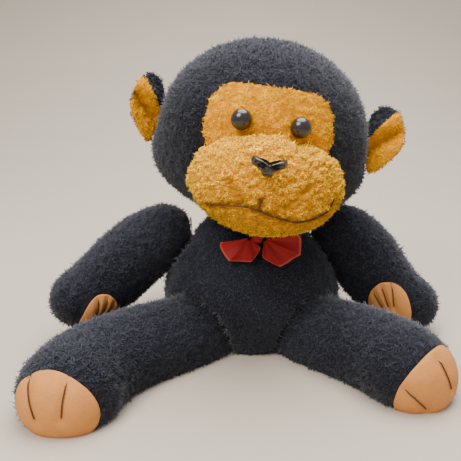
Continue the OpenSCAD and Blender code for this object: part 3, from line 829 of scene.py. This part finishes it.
# ---- Ears --------------------------------------------------------------------------------
# Each ear is a black back and a golden lining sewn face to face and turned, then folded over
# at its root so that it cups forwards.
for side in ("left", "right"):
    hinge = [j for j in frame["joints"] if j["name"] == "ear_bend_" + side][0]
    root = Vector(hinge["pos_m"])
    tall = Vector(hinge["axis"]).normalized()
    if tall.z < 0:
        tall = -tall
    low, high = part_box("ear_back_" + side)
    out = (low + high) / 2 - root
    out = (out - tall * out.dot(tall)).normalized()
    ahead = out.cross(tall)
    if ahead.y > 0:
        ahead = -ahead
    half_long, wide = 27.84 * MM, {"left": 33, "right": 28}[side] * MM
    bpy.ops.object.select_all(action="DESELECT")
    bpy.ops.mesh.primitive_uv_sphere_add(segments=96, ring_count=48, radius=1)
    ear = bpy.context.object
    ear.name = "ear_back_cloth_" + side
    at = points_of(ear)
    x, y, z = at[:, 0].copy(), at[:, 1].copy(), at[:, 2].copy()
    # x runs out from the root, z up, and y to the front. Above a slanting crease the lining
    # rolls forwards; under it lies a hollow. The ear narrows to its lower end.
    above = (z + 0.10) * 0.94 - (x + 0.6) * 0.34
    inside = (1 - x * x - z * z).clip(0) ** 0.5
    roll = 4.2 * MM * np.exp(-(((above - 0.30) / 0.24) ** 2))
    hollow = 6.5 * MM * np.exp(-(((above + 0.16) / 0.20) ** 2))
    front_y = (3.4 * MM + roll - hollow) * inside
    back_y = -(3.2 * MM + 5 * MM * np.exp(-(((above + 0.1) / 0.5) ** 2))) * inside
    local = np.stack([wide * 0.5 * (1 - 0.5 * (-z).clip(0) ** 1.6) * (x + 1) - 1.5 * MM,
                      np.where(y > 0, front_y, back_y) + 2 * MM * x * x, half_long * z], axis=1)
    basis = np.array([list(out), list(ahead), list(tall)])
    move_points(ear, np.array(root) + local @ basis)
    only(ear)
    bpy.ops.object.mode_set(mode="EDIT")
    bpy.ops.mesh.select_all(action="SELECT")
    bpy.ops.mesh.normals_make_consistent(inside=False)
    bpy.ops.mesh.select_all(action="DESELECT")
    bpy.ops.object.mode_set(mode="OBJECT")
    for face in ear.data.polygons:
        corners = list(face.vertices)
        folded = z[corners].mean() > 0.5 + 0.66 * x[corners].mean()
        face.select = bool(y[corners].mean() > -0.05 and not folded)
    bpy.ops.object.mode_set(mode="EDIT")
    bpy.ops.mesh.separate(type="SELECTED")
    bpy.ops.object.mode_set(mode="OBJECT")
    lining = [o for o in bpy.context.selected_objects if o is not ear][0]
    lining.name = "ear_lining_cloth_" + side
    for piece in (ear, lining):
        only(piece)
        bpy.ops.object.shade_smooth()

    def near_fold(roots):
        """The share of the lining's pile that is left along the crease; where it is short,
        grow_pile also paints the pile darker as painted shade in the crease.
        """
        place = (roots - np.array(root)) @ basis.T
        beside = place[:, 0] * 2 / wide - 1
        over = (place[:, 2] / half_long + 0.10) * 0.94 - (beside + 0.6) * 0.34
        return 1 - 0.55 * np.exp(-(((over + 0.08) / 0.13) ** 2)) * (beside < 0.75)

    grow_pile(ear, black_pile, 1.1 * MM, 1.9 * MM, 1.0 * MM, 21, comb=(0, 0, 0), clump=5 * MM,
              bare=[(on_head, 1.0 * MM)])
    grow_pile(lining, gold_pile, 0.85 * MM, 1.7 * MM, 0.85 * MM, 22, comb=(0, 0, -0.3),
              clump=5 * MM, trim=near_fold, lump=(4, 4, 3), relief=0.5, softness=0.85,
              bare=[(on_head, 1.0 * MM)])
    for piece, node, cloth in ((ear, "ear_back_", "black_pile"),
                               (lining, "ear_lining_", "gold_pile")):
        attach(piece, "ear_" + side)
        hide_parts(node + side)

# ---- Arms and legs -----------------------------------------------------------------------
# Each limb is a tube of black cloth, closed round at both ends, stuffed, and sewn to the body
# by its root. The palm and the sole are ovals of smooth tan felt, let into the end.
felt, surface, start = new_material("tan_felt", 0.85, Specular_IOR_Level=0.2)
nap = noise(start, 0.0012, 3.0)
shadow = noise(start, 0.007, 3.0)
flat_tan = blend_colours(start, shadow, (0.48, 0.18, 0.042, 1), (0.62, 0.255, 0.066, 1))
blend_colours(start, nap * 0.45, flat_tan, (0.72, 0.325, 0.10, 1)).into(surface, "Base Color")
start.node("Bump", {}, {"Strength": 0.8, "Distance": 0.0005, "Height": nap}, "Normal").into(
    surface, "Normal")


PAD_LIFT = 2.4 * MM         # the felt lies level with the pile round it
SEAM_SLANT = 0.2            # rise of a limb's long seam towards the toy's left
PAD_AROUND = 64             # points round a pad
PAD_RINGS = 16
# Each stitched line's two ends, as shares of the pad's half width and half height.
toe_lines = {
    "sole_pad_right": [((-0.74, 0.56), (-0.30, -0.30)), ((0.14, 0.86), (0.26, -0.02))],
    "sole_pad_left": [((-0.62, 0.62), (-0.46, -0.38)), ((0.44, 0.62), (0.28, -0.40))],
    "palm_pad": [((-0.45, 0.75), (-0.25, 0.05)), ((0.0, 0.85), (0.0, 0.1)),
                 ((0.45, 0.75), (0.25, 0.05))],
}


def mix(a, b, t):
    return a + (b - a) * t


def pad_frame(pad, stitches):
    """A pad's middle, its flat side's direction, and the way from its middle to its stitches."""
    data = frame["nodes"][pad].data
    at = np.array([list(v.co) for v in data.vertices])
    centre = at.mean(axis=0)
    _, ways = np.linalg.eigh(np.cov((at - centre).T))
    low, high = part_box(stitches)
    return centre, ways[:, 0], np.array((low + high) / 2) - centre


def limb(cover, filling, pad, stitches, body, other, seed):
    """One arm or leg: its stuffed cover, its felt pad, the lines on that and its pile."""
    skin = cloth_form(cover + "_cloth", [cover, filling])
    at = points_of(skin)
    middle = sum(np.array(corner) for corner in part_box(cover)) / 2
    off_seam = at[:, 2] - middle[2] - SEAM_SLANT * (at[:, 0] - middle[0])
    stuff(skin, np.abs(off_seam) < 2.5 * MM)
    stuffing_under(filling.replace("filling", "stuffing"), filling, body)
    centre, out, toes = pad_frame(pad, stitches)
    middle = points_of(skin).mean(axis=0)
    if out @ (centre - middle) < 0:
        out = -out
    toes -= out * (toes @ out)
    up = toes / np.linalg.norm(toes)
    side = np.cross(up, out)
    at = np.array([list(v.co) for v in frame["nodes"][pad].data.vertices]) - centre
    half_wide, half_tall = np.abs(at @ side).max(), np.abs(at @ up).max()
    if "palm" in pad:
        half_wide, half_tall = half_wide * 0.88, half_tall * 0.92
    tree = BVHTree.FromPolygons([v.co.copy() for v in skin.data.vertices],
                                [list(f.vertices) for f in skin.data.polygons])

    def on_pad(x, y, lift):
        """A point of the limb's end at these shares of the pad's half sizes, lifted off it."""
        start = centre + side * x * half_wide + up * y * half_tall + out * 0.03
        hit, normal = tree.ray_cast(Vector(start), Vector(-out))[:2]
        if hit is None:
            hit, normal = tree.find_nearest(Vector(start))[:2]
        return hit + normal * lift

    bpy.ops.object.select_all(action="DESELECT")
    bpy.ops.mesh.primitive_circle_add(vertices=PAD_AROUND, radius=1, fill_type="NOTHING")
    sole = bpy.context.object
    sole.name = pad + "_felt"
    bpy.ops.object.mode_set(mode="EDIT")
    bpy.ops.mesh.select_all(action="SELECT")
    for _ in range(PAD_RINGS):
        bpy.ops.mesh.extrude_region_move()
    bpy.ops.object.mode_set(mode="OBJECT")
    flat = points_of(sole)
    lines = toe_lines.get(pad, toe_lines["palm_pad"])
    for index in range(len(flat)):
        share = 1 - (index // PAD_AROUND) / (PAD_RINGS + 0.35)
        angle = index % PAD_AROUND / PAD_AROUND * math.tau
        x, y = share * math.cos(angle), share * math.sin(angle)
        plump = PAD_LIFT + 1.6 * MM * (1 - share ** 4)
        for line in lines:
            gap = min(math.hypot(x - u, (y - v) * 0.8) for u, v in
                      ((mix(line[0][0], line[1][0], k / 8), mix(line[0][1], line[1][1], k / 8))
                       for k in range(9)))
            plump -= 1.9 * MM * math.exp(-((gap / 0.11) ** 2))
        flat[index] = on_pad(x, y, plump)
    move_points(sole, flat)
    only(sole)
    bpy.ops.object.mode_set(mode="EDIT")
    bpy.ops.mesh.select_all(action="DESELECT")
    bpy.ops.object.mode_set(mode="OBJECT")
    for vertex in sole.data.vertices[-PAD_AROUND:]:
        vertex.select = True
    bpy.ops.object.mode_set(mode="EDIT")
    bpy.ops.mesh.edge_face_add()
    bpy.ops.mesh.poke()
    bpy.ops.mesh.select_all(action="SELECT")
    bpy.ops.mesh.normals_make_consistent(inside=False)
    bpy.ops.object.mode_set(mode="OBJECT")
    if Vector(out).dot(sole.data.polygons[-1].normal) < 0:
        sole.data.flip_normals()
    apply_modifier(sole, "SMOOTH", factor=0.5, iterations=2)
    apply_modifier(sole, "SOLIDIFY", thickness=0.9 * MM, offset=-1)
    bpy.ops.object.shade_smooth()
    sole.data.materials.append(felt)
    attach(sole, body)
    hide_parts(pad)
    threads = sew(stitches + "_thread",
                  [[on_pad(mix(a[0], b[0], k / 10), mix(a[1], b[1], k / 10),
                           PAD_LIFT + (0.6 if 0 < k < 10 else -1.0) * MM) for k in range(11)]
                   for a, b in lines], 0.5 * MM)
    threads.data.materials.append(brown_thread)
    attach(threads, body)
    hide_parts(stitches)

    grow_pile(skin, black_pile, PILE_SPACING, PILE_LENGTH, PILE_WIDTH, seed, fluffy=True,
              relief=0.9, bare=[(solid_tree(*other), NEXT_PIECE), (solid_tree(pad), PAD_LIFT)])
    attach(skin, body)
    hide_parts(cover)


for side, seed in (("left", 31), ("right", 41)):
    limb("arm_cover_" + side, "arm_filling_" + side, "palm_pad_" + side,
         "finger_stitches_" + side, "arm_" + side,
         ["torso_cover", "head_cover"], seed)
    limb("leg_cover_" + side, "leg_filling_" + side, "sole_pad_" + side,
         "toe_stitches_" + side, "leg_" + side, ["torso_cover"], seed + 1)

# ---- Bow ---------------------------------------------------------------------------------
# Two fans of thin red ribbon, pleated by hand, hemmed along the edge and caught under a knot.
ribbon, surface, start = new_material("red_ribbon", 0.6, Specular_IOR_Level=0.2)
weave = noise(start, 0.0009, 1.0)
hem = start.node("Attribute", {"attribute_name": "hem"}, output="Fac")
dyed = blend_colours(start, weave * 0.5 + noise(start, 0.02) * 0.4, (0.19, 0.005, 0.007, 1),
                     (0.39, 0.018, 0.016, 1))
blend_colours(start, hem * 0.7, dyed, (0.55, 0.09, 0.07, 1)).into(surface, "Base Color")
start.node("Bump", {}, {"Strength": 0.25, "Distance": 0.0002, "Height": weave}, "Normal").into(
    surface, "Normal")

knot_low, knot_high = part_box("bow_knot")
knot_at = (knot_low + knot_high) / 2 + Vector((-4, 0, 11)) * MM
# Where each fan starts from the knot, its first and last direction, and its reach at these.
fans = {"right": ((-6, 0), (188, 322), (29, 22, 12)), "left": ((6, -1), (8, -98), (34, 30, 15))}
INNER = 2 * MM              # where the pleats gather under the knot
PLEATS = 2.9
PLEAT_DEPTH = 2.4 * MM
for side, (start_at, sweep, reaches) in fans.items():
    bpy.ops.object.select_all(action="DESELECT")
    bpy.ops.mesh.primitive_grid_add(x_subdivisions=24, y_subdivisions=72, size=2)
    fan = bpy.context.object
    fan.name = "bow_fan_" + side
    at = points_of(fan)
    along, over = (at[:, 0] + 1) / 2, (at[:, 1] + 1) / 2
    turn = np.radians(sweep[0] + (sweep[1] - sweep[0]) * over)
    far = np.interp(over, (0, 0.5, 1), reaches) * (1 - 0.16 * np.abs(2 * over - 1) ** 7) * MM
    folds = 1 - 2 * np.abs(np.sin(over * math.pi * PLEATS + 0.5)) ** 0.9
    radius = INNER + (far * (1 + 0.03 * folds) - INNER) * along
    height = folds * PLEAT_DEPTH * along ** 0.8 + 2.5 * MM * np.sin(along * 2.4)
    local = np.stack([start_at[0] * MM + radius * np.cos(turn), -height,
                      start_at[1] * MM + radius * np.sin(turn)], axis=1)
    move_points(fan, np.array(knot_at) + local)
    edge = fan.data.attributes.new("hem", "FLOAT", "POINT")
    edge.data.foreach_set("value", np.clip((along - 0.93) / 0.04, 0, 1))
    length = math.pi * abs(sweep[1] - sweep[0]) / 180 * reaches[1] * MM
    only(fan)
    apply_modifier(fan, "SOLIDIFY", thickness=0.5 * MM, offset=0)
    bpy.ops.object.shade_smooth()
    fan.data.materials.append(ribbon)
    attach(fan, "torso")
    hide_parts("bow_" + side)
    length * reaches[1] * MM * 0.62

bpy.ops.object.select_all(action="DESELECT")
bpy.ops.mesh.primitive_uv_sphere_add(segments=32, ring_count=16, radius=5 * MM)
knot = bpy.context.object
knot.name = "bow_centre"
at = points_of(knot)
turn = np.arctan2(at[:, 2], at[:, 0])
at *= (1 + 0.06 * np.cos(turn * 7))[:, None]
at[:, 1] *= 0.7
move_points(knot, at + np.array(knot_at))
only(knot)
bpy.ops.object.shade_smooth()
knot.data.materials.append(ribbon)
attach(knot, "torso")
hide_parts("bow_knot")

# ---- Hidden pieces -----------------------------------------------------------------------
# Lock washers inside the head, and the black thread that holds the head and limbs on and
# closes the back.
white_plastic, surface, start = new_material("white_plastic", 0.5)
blend_colours(start, noise(start, 0.005), (0.75, 0.74, 0.70, 1), (0.82, 0.81, 0.78, 1)).into(
    surface, "Base Color")
black_thread, surface, start = new_material("black_thread", 0.6)
blend_colours(start, noise(start, 0.001), (0.008, 0.008, 0.010, 1), (0.02, 0.02, 0.024, 1)).into(
    surface, "Base Color")
for name, node in frame["nodes"].items():
    if node.hide_render:
        continue
    node.data.materials.clear()
    node.data.materials.append(white_plastic if "washer" in name else black_thread)
